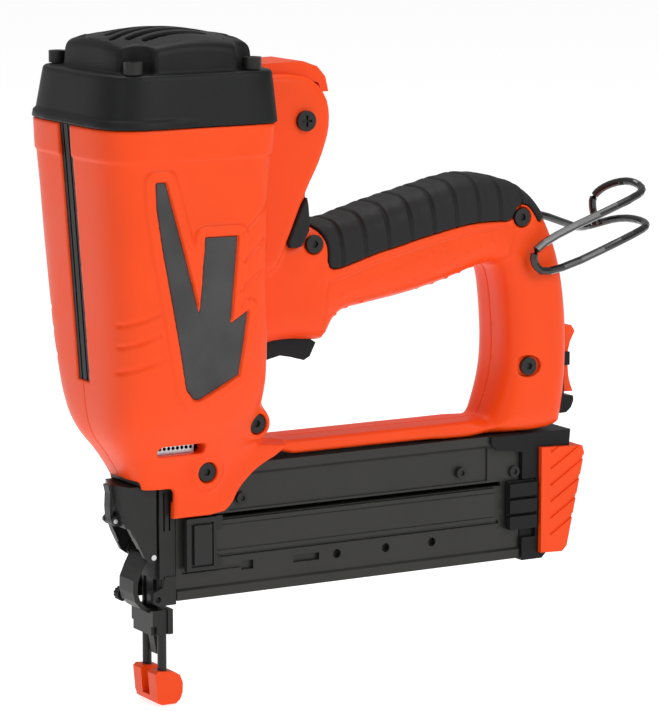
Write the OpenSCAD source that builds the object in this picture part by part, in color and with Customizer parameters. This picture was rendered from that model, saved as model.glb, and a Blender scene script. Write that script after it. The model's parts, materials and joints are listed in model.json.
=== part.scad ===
// Cordless gas nailer for 18-gauge brads.
// Origin: centre of the nail exit hole on the no-mar tip's work face, on the drive axis.
// +X runs to the rear along the magazine, +Z runs up to the cap, -Y is the tool's left side.

/* [Body] */
// Half width of the body just under the cap
body_half_w = 46; // [45:0.5:47]
// Height of the cap's skirt
cap_skirt_h = 22; // [20:1:24]
// Height of the dome above the skirt
dome_h = 17; // [14:1:20]
// Half width of the two fuel bay walls
wing_half_w = 20; // [19.5:0.5:22]

/* [Handle] */
// Half width of the grip
grip_half_w = 17; // [16:0.5:19]
// Half width of the rear post
post_half_w = 18; // [17.5:0.5:19]
// Thickness of the grip rubber
rubber_t = 2.6; // [2:0.1:3]
// Radius of the hook wire
hook_wire_r = 1.8; // [1.5:0.1:2]

/* [Drive] */
// Bore radius of the cylinder
bore_r = 16; // [14:0.5:16]
// Wall thickness of the cylinder
cylinder_wall = 2; // [1.5:0.5:2]
// Number of fan blades
fan_blades = 5; // [4:1:7]
// Radius of the two probe wires
probe_r = 2; // [1.6:0.1:2]

/* [Magazine] */
// Length of the loaded brads
brad_len = 44.7; // [15:0.1:44.7]
// Number of brads left in the magazine
brad_count = 5; // [1:1:5]
// Half width of the magazine channel
mag_half_w = 12; // [12:0.5:12.5]

/* [Hidden] */
$fn = 48;
eps = 0.01;
running = 0.06;
orange = "#F0501A";
charcoal = "#26282A";
black_metal = "#17181A";
steel = "#B9BCC0";

// body column: height, front, rear and half-width ratio of each level
body_levels = [
    [100, -18, 30, 0.391], [104, -20.5, 36, 0.42], [110, -24, 39, 0.468], [114, -27, 39.3, 0.52],
    [118.6, -30.6, 39.4, 0.587], [122.7, -32.4, 39.3, 0.652], [127, -33.6, 39, 0.717],
    [135, -34.8, 38.5, 0.783], [143, -35.3, 38, 0.822], [151, -35.8, 37, 0.845], [160, -36.4, 36, 0.876],
    [175, -37.4, 35, 0.904], [200, -39.3, 34.5, 0.939], [225, -41, 35, 0.957], [239, -42.2, 35.5, 0.974],
    [240.5, -43.2, 37.6, 0.993], [253.4, -43.8, 38.6, 1]];
body_top = 253.4;
cap_z = 253.6;
skirt_top = cap_z + cap_skirt_h;
dome_top = skirt_top + dome_h;
cap_screw_z = 276;
cap_screws_xy = [[-28.5, 35.3], [-28.5, -35.3], [27.3, 35.3], [27.3, -35.3]];

// handle sweep: outer x and z, inner x and z, half width
grip_w = grip_half_w;
post_w = post_half_w;
stations = [
    [58, 204, 62, 150, grip_w - 1], [71, 204.7, 76, 156.5, grip_w], [84, 205.6, 84, 165.5, grip_w],
    [100, 209.9, 98, 167.5, grip_w], [116, 213.8, 112, 169.5, grip_w], [130, 216.8, 126, 172, grip_w],
    [143, 219.7, 138, 174.8, grip_w], [155, 221.1, 149, 178, grip_w], [168, 218.6, 158, 180.3, grip_w],
    [179, 213.2, 163.5, 178, post_w - 0.5], [187, 205, 166.3, 171, post_w], [193.5, 191, 168, 163, post_w],
    [198.5, 176, 168.9, 155, post_w], [201.2, 158, 169.4, 146, post_w], [201.7, 140, 168.6, 134, post_w],
    [201.2, 124, 166, 123, post_w], [199.7, 112, 163, 114.5, post_w], [198, 103.6, 160, 103.6, post_w - 1]];
inner_stations = [for (i = [2:8]) stations[i]];

// fuel bay
pivot_x = 61.5;
pivot_z = 251;
bay_half_w = 14.3;
cell_x = 54;
cell_r = 11.5;

// drive unit heights
nose_top = 122.4;
cyl_z = 122.5;
cyl_top = 217;
cyl_r = bore_r + cylinder_wall;
flange_r = 21.4;
sleeve_r = 22;
sleeve_z = 185;
sleeve_top = 234;
piston_z = 208;
head_z = 247;
boss_r = 21.3;
blade_z = 92.5;
shaft_r = 1.5;
yoke_z = 107;
rod_x = 18.5;
rod_y = 12;
wire_x = -2.5;
wire_y = 7;

// nose
door_x = -9;
door_z = 66.2;
door_top = 97.5;
// height, front reach and half width at the front of the door
door_levels = [[62, -12.8, 10], [72, -17.6, 9.5], [80, -20.8, 9.2], [88, -22.4, 6.4], [door_top, -23, 3.6]];
lever_x = -23.1;
lever_z = 82;
wheel_x = -12.9;
wheel_z = 46.5;
wheel_r = 3.1;

// magazine
mag_x = 2;
mag_end = 177;
mag_z = 46;
mag_top = 103.4;
brad_z = 47.3;
brad_pitch = 1.2;
plate_y = 13.8;

// battery bay in the post
bay_x = 174.5;
bay_z0 = 109.6;
bay_z1 = 154.4;
bay_w = 12.7;
latch_x = 202.9;
latch_z = 135;
latch_bore = 1.2;

// trigger
trig_x = 53;
trig_z = 158;

// hook wire route
bush_y = 3;
bush_z = 200.5;
hook_points = [
    [179, 3, 200.5], [195, 3, 200.5], [214, 8, 194], [227, 16, 190], [237, 20, 190.5], [242, 2, 196],
    [243, -18, 195], [232, -23, 191.5], [184, -23, 175.5], [175.5, -23, 182.5], [180, -23, 191],
    [230, -23, 207.5], [240, -18, 211], [239, -6, 214], [235, 6, 210.5], [231.5, 12, 205],
    [231.5, 12, 199], [234, 12, 192]];

// housing screws: x, z, half width at the head, depth the shank reaches in y
screw_list = [[68, 197, 17.6, 8], [174.4, 202, 17.8, 8], [36, 122, 23, 12], [178.3, 134.5, 18, -12.2],
    [13, 102.6, 20.5, -11]];

bolt_outline = [[-22.8, 231.6], [-18.2, 231.6], [-1.4, 175.5], [0.4, 207.4], [16, 207.2], [13.8, 170],
    [21.8, 175], [19, 147], [1, 137.3], [-2, 137.8], [-6, 142.8], [-12, 168.8], [-19, 200.8], [-22.4, 220.8]];

// grip rubber outline, seen from the side
rubber_outline = [
    [66, 214], [65.5, 206.5], [67, 205], [71, 203.5], [74, 199], [75, 195], [75, 186.5],
    [79, 185], [90, 188], [100, 191], [110, 193], [120, 195.5], [130, 197.5], [140, 199.5],
    [150, 200.8], [160, 201], [168, 200.5], [170, 203], [171.5, 206.5], [174.5, 208], [178, 207],
    [181, 203.5], [184, 198], [200, 206], [184, 234], [80, 226]];

// signed power, used for rounded-rectangle rings
function spow(v, p) = sign(v) * pow(abs(v), p);

// closed skin over rings of equal length, each ring counter-clockwise along the path
module loft(rings) {
    n = len(rings[0]);
    m = len(rings);
    pts = [for (r = rings) for (p = r) p];
    low = [for (i = [0:n - 1]) i];
    high = [for (i = [n - 1:-1:0]) (m - 1) * n + i];
    sides_a = [for (j = [0:m - 2]) for (i = [0:n - 1])
        [j * n + i, (j + 1) * n + i, (j + 1) * n + (i + 1) % n]];
    sides_b = [for (j = [0:m - 2]) for (i = [0:n - 1])
        [j * n + i, (j + 1) * n + (i + 1) % n, j * n + (i + 1) % n]];
    polyhedron(points = pts, faces = concat([low, high], sides_a, sides_b), convexity = 6);
}

// rounded ring: front and rear reach, half width, height, front and rear squareness
function flat_ring(xf, xr, w, z, n, m) = [for (i = [0:39]) let (a = 9 * i, c = cos(a), s = sin(a),
    q = c < 0 ? n : m) [(c < 0 ? -xf : xr) * spow(c, 2 / q), w * spow(s, 2 / q), z]];

module column(off) {
    loft([for (l = body_levels) flat_ring(l[1] - off, l[2] + off, body_half_w * l[3] + off, l[0],
        min(5, l[0] / 50 + 2), 4 + 4 * (l[0] - 100) / (body_top - 100))]);
}

function grip_ring(s, off, k) = let (dx = (s[0] - s[2]) / 2, dz = (s[1] - s[3]) / 2, h = norm([dx, dz]),
    g = (h + off) / h, cx = (s[0] + s[2]) / 2, cz = (s[1] + s[3]) / 2)
    [for (i = [0:k - 1]) let (a = 360 * i / k, c = spow(cos(a), 0.72), t = spow(sin(a), 0.72))
        [cx + dx * g * c, -(s[4] + off) * t, cz + dz * g * c]];

module grip_sweep(list, off) {
    loft([for (s = list) grip_ring(s, off, 24)]);
}

// outline in the XZ plane, from y0 to y1
module side_plate(points, y0, y1) {
    translate([0, y1, 0]) rotate([90, 0, 0]) linear_extrude(y1 - y0) polygon(points);
}

// cylinder along Y between y0 and y1
module y_rod(x, z, r, y0, y1) {
    translate([x, y0, z]) rotate([-90, 0, 0]) cylinder(r = r, h = y1 - y0);
}

// box between two corners
module block(a, b) {
    translate(a) cube(b - a);
}

// box on both sides of the middle plane
module pair_block(a, b) {
    for (s = [1, -1]) scale([1, s, 1]) block(a, b);
}

function unit(v) = v / norm(v);
function corner_cut(p) = concat([p[0]], [for (i = [0:len(p) - 2]) each
    [p[i] * 0.75 + p[i + 1] * 0.25, p[i] * 0.25 + p[i + 1] * 0.75]], [p[len(p) - 1]]);

// round wire along a route
function wire_ring(p, q, r, k) = let (d = unit(q), side = abs(d[2]) < 0.9 ? [0, 0, 1] : [1, 0, 0],
    u = unit(cross(side, d)), v = cross(d, u))
    [for (i = [0:k - 1]) p + r * (u * cos(360 * i / k) + v * sin(360 * i / k))];
module wire(route, r, k) {
    m = len(route);
    loft([for (i = [0:m - 1]) wire_ring(route[i],
        route[min(i + 1, m - 1)] - route[max(i - 1, 0)], r, k)]);
}

// coil spring around Z
module coil(x, z0, z1, r, wire_r, turns) {
    steps = turns * 12;
    wire([for (i = [0:steps]) [x + r * cos(30 * i), r * sin(30 * i),
        z0 + wire_r + (z1 - z0 - 2 * wire_r) * i / steps]], wire_r, 6);
}

module wing_plate() {
    side_plate([[26, 186], [26, 253.3], [40, 253.3], [40, 271.5], [60, 270.5], [68, 267], [73, 261],
        [75, 254], [74.5, 246], [72, 238], [69, 231], [64, 222], [60, 213], [56, 203], [52, 197],
        [48, 190]], -wing_half_w, wing_half_w);
}

module neck() {
    side_plate([[26, 196], [56, 203], [70, 203.6], [84, 204.6], [84, 166.5], [80, 163], [77.5, 157.5],
        [74, 154.5], [62, 155.5], [50, 156.5], [42, 152.5], [26, 150]], 0.8 - grip_w, grip_w - 0.8);
}

module foot() {
    pair_block([0, 13.6, 83], [22, 18, 101]);
    for (s = [1, -1]) scale([1, s, 1])
        side_plate([[0, 100], [22, 83], [27, 87], [30, 93], [36, 99], [42, 103], [50, 106.6], [50, 110],
            [0, 110]], 13.6, 18);
}

module housing_solid() {
    column(0);
    wing_plate();
    neck();
    grip_sweep(stations, 0);
    foot();
    block([30, -12.5, 104.6], [168, 12.5, 110.9]);
    y_rod(36, 122, 5.5, -22, 22);
    y_rod(13, 102.6, 5, -20.5, -15);
}

module housing_hollow() {
    // drive unit
    translate([0, 0, 150]) cylinder(r = 26.3, h = 97.5);
    translate([0, 0, 120]) cylinder(r = 19.6, h = 31);
    translate([0, 0, head_z - 0.2]) cylinder(r = 29.3, h = 10);
    block([-8, -15.3, 98], [25, 15.3, 124]);
    block([-15.2, -11.5, 99], [-7, 11.5, 124]);
    pair_block([14.5, 9, 120], [22.5, 15, 200]);
    // nose and magazine underneath
    block([-40, -13.8, 60], [2, 13.8, 100.2]);
    block([1, -14.2, 60], [60, 14.2, 104.2]);
    // fuel bay
    block([41, -bay_half_w, 200], [cell_x, bay_half_w, 290]);
    translate([cell_x, 0, 200]) cylinder(r = bay_half_w, h = 90);
    block([39, -bay_half_w, 262], [80, bay_half_w, 290]);
    block([71.5, -bay_half_w, 228], [80, bay_half_w, 290]);
    block([60, -bay_half_w, 258], [80, bay_half_w, 290]);
    pair_block([cell_x, 12.1, 228], [80, bay_half_w, 290]);
    y_rod(pivot_x, pivot_z, 2, -30, 30);
    // front channel
    side_plate([[-60, 143.5], [-31.8, 143.5], [-31.8, 145], [-39.6, 255], [-60, 255]], -5.6, 5.6);
    // trigger pocket, switch and board
    block([45, -6, 140], [79, 6, 167]);
    block([64, -6, 160], [84, 6, 172]);
    grip_sweep(inner_stations, -5);
    // battery bay and hook bush
    block([bay_x - 0.2, -bay_w - 0.2, bay_z0 - 0.2], [206, bay_w + 0.2, bay_z1 + 0.2]);
    translate([177, bush_y, bush_z]) rotate([0, 90, 0]) cylinder(r = 4, h = 30);
    // vents
    block([-10, -30, 111.5], [8, 30, 116.5]);
    y_rod(-10, 114, 2.5, -30, 30);
    y_rod(8, 114, 2.5, -30, 30);
    // screw holes and cap screw holes
    for (s = screw_list) {
        y_rod(s[0], s[1], 1.85, -30, max(s[3], -13) + 1);
        y_rod(s[0], s[1], 4.4, -40, 2.2 - s[2]);
    }
    for (p = cap_screws_xy) translate([p[0], p[1], 236]) cylinder(r = 2.1, h = 40);
}

module rubber_zone(grow) {
    difference() {
        side_plate(rubber_outline, -30, 30);
        grip_sweep(stations, -grow);
    }
}

module inlay_zone() {
    difference() {
        side_plate(bolt_outline, -50, 50);
        column(-1.2);
    }
}

module pad_zone(depth) {
    difference() {
        side_plate([[52.4, 196.6], [59.8, 195.8], [62, 199.5], [64.6, 204.5], [63.4, 217.8], [61.9, 217.8],
            [56, 205.3]], -30, 30);
        block([40, depth - wing_half_w, 150], [90, wing_half_w - depth, 260]);
    }
}

module half_space(side) {
    block([-60, side > 0 ? 0 : -60, 50], [240, side > 0 ? 60 : 0, 300]);
}

module housing_half(side) {
    color(orange) difference() {
        intersection() {
            housing_solid();
            half_space(side);
        }
        housing_hollow();
        rubber_zone(rubber_t);
        inlay_zone();
        pad_zone(2);
    }
    // wall round the fuel bay
    color(orange) difference() {
        intersection() {
            translate([cell_x, 0, 202]) cylinder(r = bay_half_w + 2.1, h = 38);
            half_space(side);
        }
        housing_hollow();
        pad_zone(2);
    }
}

module housing_near() {
    housing_half(-1);
}

module housing_far() {
    housing_half(1);
}

module front_strip() {
    color("#0C0C0D") {
        side_plate([[-33.2, 144], [-31.8, 144], [-39.5, 253.3], [-41, 253.3]], -5.3, 5.3);
        for (y = [[-5.3, -2.9], [-1.7, 1.7], [2.9, 5.3]]) side_plate([[-34.6, 144], [-32.6, 144],
            [-40, 253.3], [-42.6, 253.3], [-41.3, 238], [-38.5, 200]], y[0], y[1]);
    }
}

module inlay(side) {
    color("#4A4D50") difference() {
        intersection() {
            side_plate(bolt_outline, side > 0 ? 10 : -50, side > 0 ? 50 : -10);
            column(-0.3);
        }
        column(-1.2);
    }
}

module inlay_near() {
    inlay(-1);
}

module inlay_far() {
    inlay(1);
}

module vent_mesh() {
    color("#8C8F92") for (s = [1, -1]) scale([1, s, 1]) difference() {
        block([-10, 16.5, 111.6], [8, 17.5, 116.4]);
        for (i = [0:7]) translate([-8.2 + 2.1 * i, 15, 114]) rotate([-90, 0, 0]) cylinder(r = 0.8, h = 4);
    }
}

module cap_shell(off) {
    w = body_half_w;
    loft([
        flat_ring(-43.8 - off, 39.6 + off, w + 0.3 + off, cap_z, 5, 8),
        flat_ring(-43.8 - off, 39.6 + off, w + 0.3 + off, cap_z + 3, 5, 8),
        flat_ring(-42.8 - off, 39 + off, w - 0.7 + off, cap_z + 4.5, 5, 8),
        flat_ring(-40.8 - off, 38.8 + off, w - 2.8 + off, skirt_top - 3 + off, 5, 8),
        flat_ring(-39.2 - off, 38 + off, w - 4.2 + off, skirt_top + off, 5, 8)]);
}

module dome(off) {
    z0 = skirt_top - 6;
    loft([
        flat_ring(-32 - off, 32.5 + off, 38 + off, z0, 5, 6),
        flat_ring(-31.4 - off, 32 + off, 37.4 + off, dome_top - 7 + off, 5, 6),
        flat_ring(-28.5 - off, 29.5 + off, 34.5 + off, dome_top - 2.2 + off, 4.5, 5),
        flat_ring(-21 - off, 23 + off, 26 + off, dome_top + off, 4, 4)]);
}

module cap_cover() {
    color(charcoal) difference() {
        union() {
            cap_shell(0);
            difference() {
                dome(0);
                for (p = cap_screws_xy) translate([p[0], p[1], cap_screw_z - 0.5]) cylinder(r = 8.5, h = 40);
            }
        }
        translate([0, 0, -eps]) cap_shell(-3);
        difference() {
            dome(-3);
            for (p = cap_screws_xy) translate([p[0], p[1], skirt_top - 4]) cylinder(r = 11.5, h = 40);
        }
        for (p = cap_screws_xy) {
            translate([p[0], p[1], 250]) cylinder(r = 2.3, h = 40);
            translate([p[0], p[1], cap_screw_z]) cylinder(r = 5, h = 40);
        }
        for (y = [-17.5:7:17.5]) block([-16, y - 1.5, 280], [24, y + 1.5, 310]);
    }
}

module cap_screws() {
    color(black_metal) for (p = cap_screws_xy) translate([p[0], p[1], 0]) difference() {
        union() {
            translate([0, 0, 238]) cylinder(r = 2, h = cap_screw_z - 238 + 0.5);
            translate([0, 0, cap_screw_z]) cylinder(r = 4, h = 5);
        }
        translate([0, 0, cap_screw_z + 2]) cylinder(r = 2.2, h = 4, $fn = 6);
    }
}

module air_filter() {
    color("#5A5A55") translate([3, 0, 0]) difference() {
        block([-20, -22, 280], [20, 22, 285]);
        translate([-3, 0, 279]) cylinder(r = 3, h = 8);
    }
}

module cylinder_head() {
    color("#9A9DA0") difference() {
        union() {
            translate([0, 0, head_z]) cylinder(r = 29, h = 6.4);
            translate([0, 0, 239]) cylinder(r = boss_r, h = 8.5);
            for (r = [21, 24, 27]) translate([0, 0, head_z + 6.3]) difference() {
                cylinder(r = r, h = 5);
                translate([0, 0, -1]) cylinder(r = r - 1, h = 8);
            }
        }
        translate([0, 0, 230]) cylinder(r = shaft_r + running, h = 40);
        translate([0, -15, 230]) cylinder(r = 3.5, h = 30);
        translate([0, 0, 243]) difference() {
            cylinder(r = 23, h = 1.8, center = true);
            cylinder(r = boss_r - 1.4, h = 3, center = true);
        }
        translate([0, -15, head_z + 6.3]) cylinder(r = 6, h = 8);
    }
}

module head_seal() {
    color("#111112") translate([0, 0, 243]) rotate_extrude() translate([boss_r - 0.5, 0]) circle(r = 0.85);
}

module fan_motor() {
    color("#77797C") difference() {
        union() {
            translate([0, 0, head_z + 6.4]) cylinder(r = 13, h = 2);
            translate([0, 0, head_z + 8.3]) cylinder(r = 10, h = 16);
            translate([0, 0, head_z + 24]) cylinder(r = 6, h = 3);
        }
        translate([0, 0, head_z]) cylinder(r = shaft_r + running, h = 24);
        translate([0, -15, head_z]) cylinder(r = 6, h = 12);
    }
}

module fan() {
    color("#2E3033") {
        translate([0, 0, 226]) cylinder(r = 4, h = 7);
        translate([0, 0, 226]) cylinder(r = shaft_r, h = 44);
        for (i = [0:fan_blades - 1]) rotate([0, 0, 360 * i / fan_blades]) translate([3, 0, 229.5])
            rotate([28, 0, 0]) translate([0, -4, -0.6]) cube([14, 8, 1.2]);
    }
}

module spark_plug() {
    translate([0, -15, 0]) {
        color(steel) translate([0, 0, 241]) cylinder(r = 3.4, h = 12.5);
        color(steel) translate([0, 0, head_z + 6.4]) cylinder(r = 5, h = 3, $fn = 6);
        color("#E8E6DF") translate([0, 0, head_z + 9.3]) cylinder(r = 3, h = 8);
        color(steel) translate([0, 0, 238]) cylinder(r = 0.6, h = 4);
    }
}

module combustion_sleeve() {
    color(steel) rotate_extrude() polygon([[18.6, sleeve_z], [24, sleeve_z], [24, sleeve_top],
        [sleeve_r, sleeve_top], [sleeve_r, sleeve_z + 3], [18.6, sleeve_z + 3]]);
}

module sleeve_spring() {
    color("#8E9094") coil(0, sleeve_z + 3.1, cyl_top - 6.1, 20, 0.7, 5);
}

module linkage_yoke() {
    color("#3A3C3F") {
        difference() {
            block([-5.2, -14.5, yoke_z], [23, 14.5, yoke_z + 2.5]);
            translate([0, 0, yoke_z - 1]) cylinder(r = 4.95, h = 5);
        }
        for (s = [1, -1]) translate([rod_x, s * rod_y, yoke_z + 1])
            cylinder(r = 1.5, h = sleeve_z - yoke_z - 1);
    }
}

module cylinder_tube() {
    color("#A7AAAD") difference() {
        rotate_extrude() polygon([[3, cyl_z], [cyl_r, cyl_z], [cyl_r, cyl_top - 6],
            [flange_r, cyl_top - 6], [flange_r, cyl_top], [bore_r, cyl_top], [bore_r, cyl_z + 2.5],
            [3, cyl_z + 2.5]]);
        for (i = [0:7]) rotate([0, 0, 45 * i + 22.5]) translate([0, 0, 150]) rotate([0, 90, 0])
            translate([0, 0, 10]) cylinder(r = 2, h = 12);
    }
}

module reed_band() {
    color(steel) translate([0, 0, 145]) difference() {
        cylinder(r = cyl_r + 0.5, h = 10);
        translate([0, 0, -1]) cylinder(r = cyl_r + 0.05, h = 12);
    }
}

module bumper() {
    color("#1B1C1D") translate([0, 0, cyl_z + 2.5]) difference() {
        cylinder(r = bore_r - 0.5, h = 3);
        translate([0, 0, -1]) cylinder(r = 3.5, h = 6);
    }
}

module piston() {
    color("#C3C6C9") difference() {
        translate([0, 0, piston_z]) cylinder(r = bore_r - 0.4, h = 7);
        translate([0, 0, piston_z + 3]) difference() {
            cylinder(r = bore_r + 1, h = 2);
            translate([0, 0, -1]) cylinder(r = bore_r - 1.5, h = 4);
        }
        block([-0.65, -1.55, piston_z - 1], [0.65, 1.55, piston_z + 2]);
    }
}

module piston_ring() {
    color("#55585B") translate([0, 0, piston_z + 3.1]) difference() {
        cylinder(r = bore_r - 0.05, h = 1.8);
        translate([0, 0, -1]) cylinder(r = bore_r - 1.4, h = 4);
    }
}

module driver_blade() {
    color(steel) block([-0.6, -1.5, blade_z], [0.6, 1.5, piston_z + 1.9]);
}

module nose_casting() {
    color(black_metal) difference() {
        union() {
            block([-7.4, -9.8, 56], [1.7, 9.8, 98.5]);
            pair_block([-5.9, 9, 56], [1.7, 12, 98.5]);
            block([-16, -13.5, 98], [1.7, 13.5, 100]);
            translate([0, 0, 98]) cylinder(r = 4.5, h = nose_top - 98);
            for (s = [1, -1]) translate([-12, s * 8.5, 98]) cylinder(r = 2.8, h = nose_top - 98);
            // lower brackets and hinge lugs
            for (s = [1, -1]) scale([1, s, 1]) {
                side_plate([[-9.3, 50.5], [-9.3, 46], [-7, 44.5], [1.7, 44.5], [1.7, 57], [-3.5, 57],
                    [-4.5, 52.5]], 10.4, 12.6);
                side_plate([[-11, 66], [-10, 64], [-7, 62.5], [-7, 70], [-10, 68.5]], 8.3, 9.8);
            }
            // guide for the blade
            block([-4.5, -3, 30], [1.7, 3, 57]);
            side_plate([[-2.8, 21], [1.2, 21], [1.7, 31], [-4.5, 31]], -2.6, 2.6);
        }
        block([-0.75, -1.65, 20], [0.75, 1.65, 125]);
        block([-0.75, -1.2, 46], [3, 1.2, 93.5]);
        for (s = [1, -1]) {
            translate([wire_x, s * wire_y, 55]) cylinder(r = probe_r + running, h = 50);
            for (x = [-4, -1.4]) block([x, s > 0 ? 10.8 : -13, 77], [x + 0.8, s > 0 ? 13 : -10.8, 94]);
            y_rod(-6.8, 47.4, 1.3, s > 0 ? 10 : -13, s > 0 ? 13 : -10);
        }
        y_rod(door_x, door_z, 1.2, -10, 10);
    }
}

// one level of the nose door, shrunk by t for its inside
function door_ring(z, xf, yf, t) = [[-7.6 + 3 * t, t - 12.5, z], [-7.6 + 3 * t, 12.5 - t, z],
    [(xf - 16) / 2 + t, 12 - t, z], [xf + 0.8 + t, yf + 1 - t, z], [xf + t, yf - t, z],
    [xf + t, t - yf, z], [xf + 0.8 + t, t - yf - 1, z], [(xf - 16) / 2 + t, t - 12, z]];

module nose_door() {
    color("#202225") difference() {
        union() {
            loft([for (l = door_levels) door_ring(l[0], l[1], l[2], 0)]);
            for (s = [1, -1]) scale([1, s, 1])
                side_plate([[-20, 79.5], [-23.4, 80], [-24.9, 81.4], [-24.9, 82.6], [-23.6, 84], [-20, 85]],
                    2.9, 4.5);
        }
        loft([for (l = door_levels) door_ring(l[0] - 2, l[1], l[2], 1.8)]);
        block([-30, -7.6, 60], [-11, 7.6, 79]);
        side_plate([[-30, 60], [0, 60], [0, 64.8], [-7.4, 64.8], [-9.6, 63.6], [-13, 66], [-16, 72],
            [-19.5, 79.2], [-30, 79.2]], -15, 15);
        y_rod(door_x, door_z, 1.26, -13, 13);
        y_rod(lever_x, lever_z, 1, -8, 8);
    }
}

module door_pin() {
    color(steel) for (s = [1, -1]) scale([1, s, 1]) y_rod(door_x, door_z, 1.2, 8.2, 12.9);
}

module jam_lever() {
    color("#2B2D30") difference() {
        union() {
            y_rod(lever_x, lever_z, 1.5, -2.6, 2.6);
            side_plate([[-23.1, 80.6], [-24.5, 82], [-24.9, 88], [-24.6, 94], [-25.4, 97.5], [-24.2, 97.7],
                [-23.6, 94], [-23.5, 88], [-23.1, 83.4]], -2.6, 2.6);
        }
        y_rod(lever_x, lever_z, 1.06, -5, 5);
    }
}

module lever_pin() {
    color(steel) y_rod(lever_x, lever_z, 1, -4.8, 4.8);
}

module depth_wheel() {
    color("#2A2C2E") translate([wheel_x, 8.3, wheel_z]) rotate([-90, 0, 0]) difference() {
        cylinder(r = wheel_r, h = 4);
        translate([0, 0, -1]) cylinder(r = shaft_r + running, h = 8);
        for (i = [0:11]) rotate([0, 0, 30 * i]) translate([wheel_r + 0.3, 0, -1]) cylinder(r = 0.6, h = 8, $fn = 12);
    }
}

module probe() {
    color(black_metal) {
        for (s = [1, -1]) translate([wire_x, s * wire_y, 3.6]) cylinder(r = probe_r, h = yoke_z - 3.5);
        difference() {
            union() {
                block([-8.4, -10, 31], [1.5, 10, 42]);
                // curved arm with the pin of the depth wheel
                side_plate([[-8.4, 68], [-10.4, 66.5], [-13.4, 61], [-15.8, 55.5], [-16, 50], [-15, 46],
                    [-12.5, 43], [-8.4, 40.5], [-6, 40.5], [-6, 42], [-9.4, 43], [-12.2, 45.6], [-13.8, 50],
                    [-13.6, 54.5], [-11.2, 60], [-8.4, 64.5]], -6.6, 6.6);
                side_plate([[-15, 50], [-14.6, 45], [-11.2, 44.6], [-10.8, 49], [-13, 51]], 5.5, 8);
            }
            block([-5, -3.4, 30], [3, 3.4, 50]);
            for (s = [1, -1]) {
                block([-3.2, s > 0 ? 9.2 : -12, 30], [-1, s > 0 ? 12 : -9.2, 50]);
                block([-9, s > 0 ? 8.4 : -12, 30], [-6.4, s > 0 ? 12 : -8.4, 35]);
            }
        }
        y_rod(wheel_x, wheel_z, shaft_r, 7.8, 12.8);
    }
}

module no_mar_tip() {
    color(orange) difference() {
        union() {
            side_plate([[-6, 0.8], [-4, 0], [2.5, 0], [4.6, 1.6], [5.4, 3.4], [-6.6, 3.4]], -10.2, 10.2);
            for (s = [1, -1]) scale([1, s, 1])
                side_plate([[-6.6, 3], [-7.6, 14], [-6.2, 15.2], [1.5, 14.4], [4.4, 12.6], [5.8, 9],
                    [5.6, 4.6], [4.8, 3]], 3.3, 10.6);
        }
        cylinder(r = 2.5, h = 12, center = true);
        for (s = [1, -1]) translate([wire_x, s * wire_y, 3.4]) cylinder(r = probe_r + running, h = 30);
    }
}

// profile in the YZ plane, from x0 to x1
module long_profile(points, x0, x1) {
    translate([x0, 0, 0]) rotate([90, 0, 90]) linear_extrude(x1 - x0) polygon(points);
}

module mag_channel() {
    w = mag_half_w;
    color(black_metal) difference() {
        long_profile([[-w - 1, mag_z], [w + 1, mag_z], [w + 1, 50], [w, 51], [w, 98], [w + 2, 99.4],
            [w + 2, mag_top], [-w - 2, mag_top], [-w - 2, 99.4], [-w, 98], [-w, 51], [-w - 1, 50]],
            mag_x, mag_end);
        // brad slot, follower chamber and the slots between them
        block([0, -1.1, 47], [200, 1.1, 93.5]);
        block([7.6, -9.6, 66], [174, -2.4, 92]);
        block([7.6, -3, 84], [174, 0, 90]);
        block([7.6, -20, 80], [167, -9, 82]);
        // grooves and windows on the near side
        block([21, -20, 62.8], [166, 1 - w, 64.4]);
        block([28, -20, 83], [160, 0.8 - w, 98]);
        block([5, -20, 57.2], [36, 1 - w, 58.8]);
        block([34, -20, 56], [40, 2 - w, 60]);
        block([60, -20, 56.4], [73, 2 - w, 59.6]);
        for (x = [82, 107, 131]) y_rod(x, 58, 2, -20, 3 - w);
        // far side lightening panels
        for (x = [24, 72, 120]) block([x, w - 2, 56], [x + 40, 20, 90]);
        y_rod(13, 102.6, 1.75, -20, -10);
        y_rod(174, 86, 1.5, -20, -10.5);
        y_rod(146, 88, 1.5, -20, -10.5);
        y_rod(34, 88, 1.5, -20, -10.5);
        translate([0, 0, 96]) cylinder(r = 4.9, h = 10);
    }
}

module mag_rail() {
    color("#1D1F20") difference() {
        block([21, -plate_y, 64.6], [163, -mag_half_w, 79.4]);
        for (z = [66.5, 77.5]) block([19, -20, z - 0.3], [165, 0.5 - plate_y, z + 0.3]);
    }
}

module follower() {
    color("#121314") difference() {
        union() {
            // thumb frame outside
            side_plate([[5, 59], [23, 59], [23, 63.5], [19.5, 64.5], [19.5, 75.5], [23, 76.5], [23, 82],
                [5, 82]], -15.6, -14.2);
            difference() {
                block([5, -16.6, 59], [19.5, -15.5, 82]);
                block([7.2, -18, 60.6], [18, -15, 80]);
            }
            block([8.4, -17.2, 61.6], [17, -15.5, 79]);
            // arm, carriage and pusher
            block([9, -14.5, 80.4], [17, -5, 81.6]);
            block([8.5, -9.1, 68], [21, -2.9, 91.4]);
            block([8.5, -3.2, 84.4], [10.5, 0.9, 89.6]);
            block([8.5, -0.9, 47.6], [10.5, 0.9, 91.4]);
        }
        y_rod(15, 75, 4.9, -8.2, -3.8);
    }
}

module follower_spring() {
    color(steel) for (r = [2.4, 3.4, 4.4]) difference() {
        y_rod(15, 75, r + 0.3, -8, -4);
        y_rod(15, 75, r - 0.3, -9, -3);
    }
}

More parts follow.
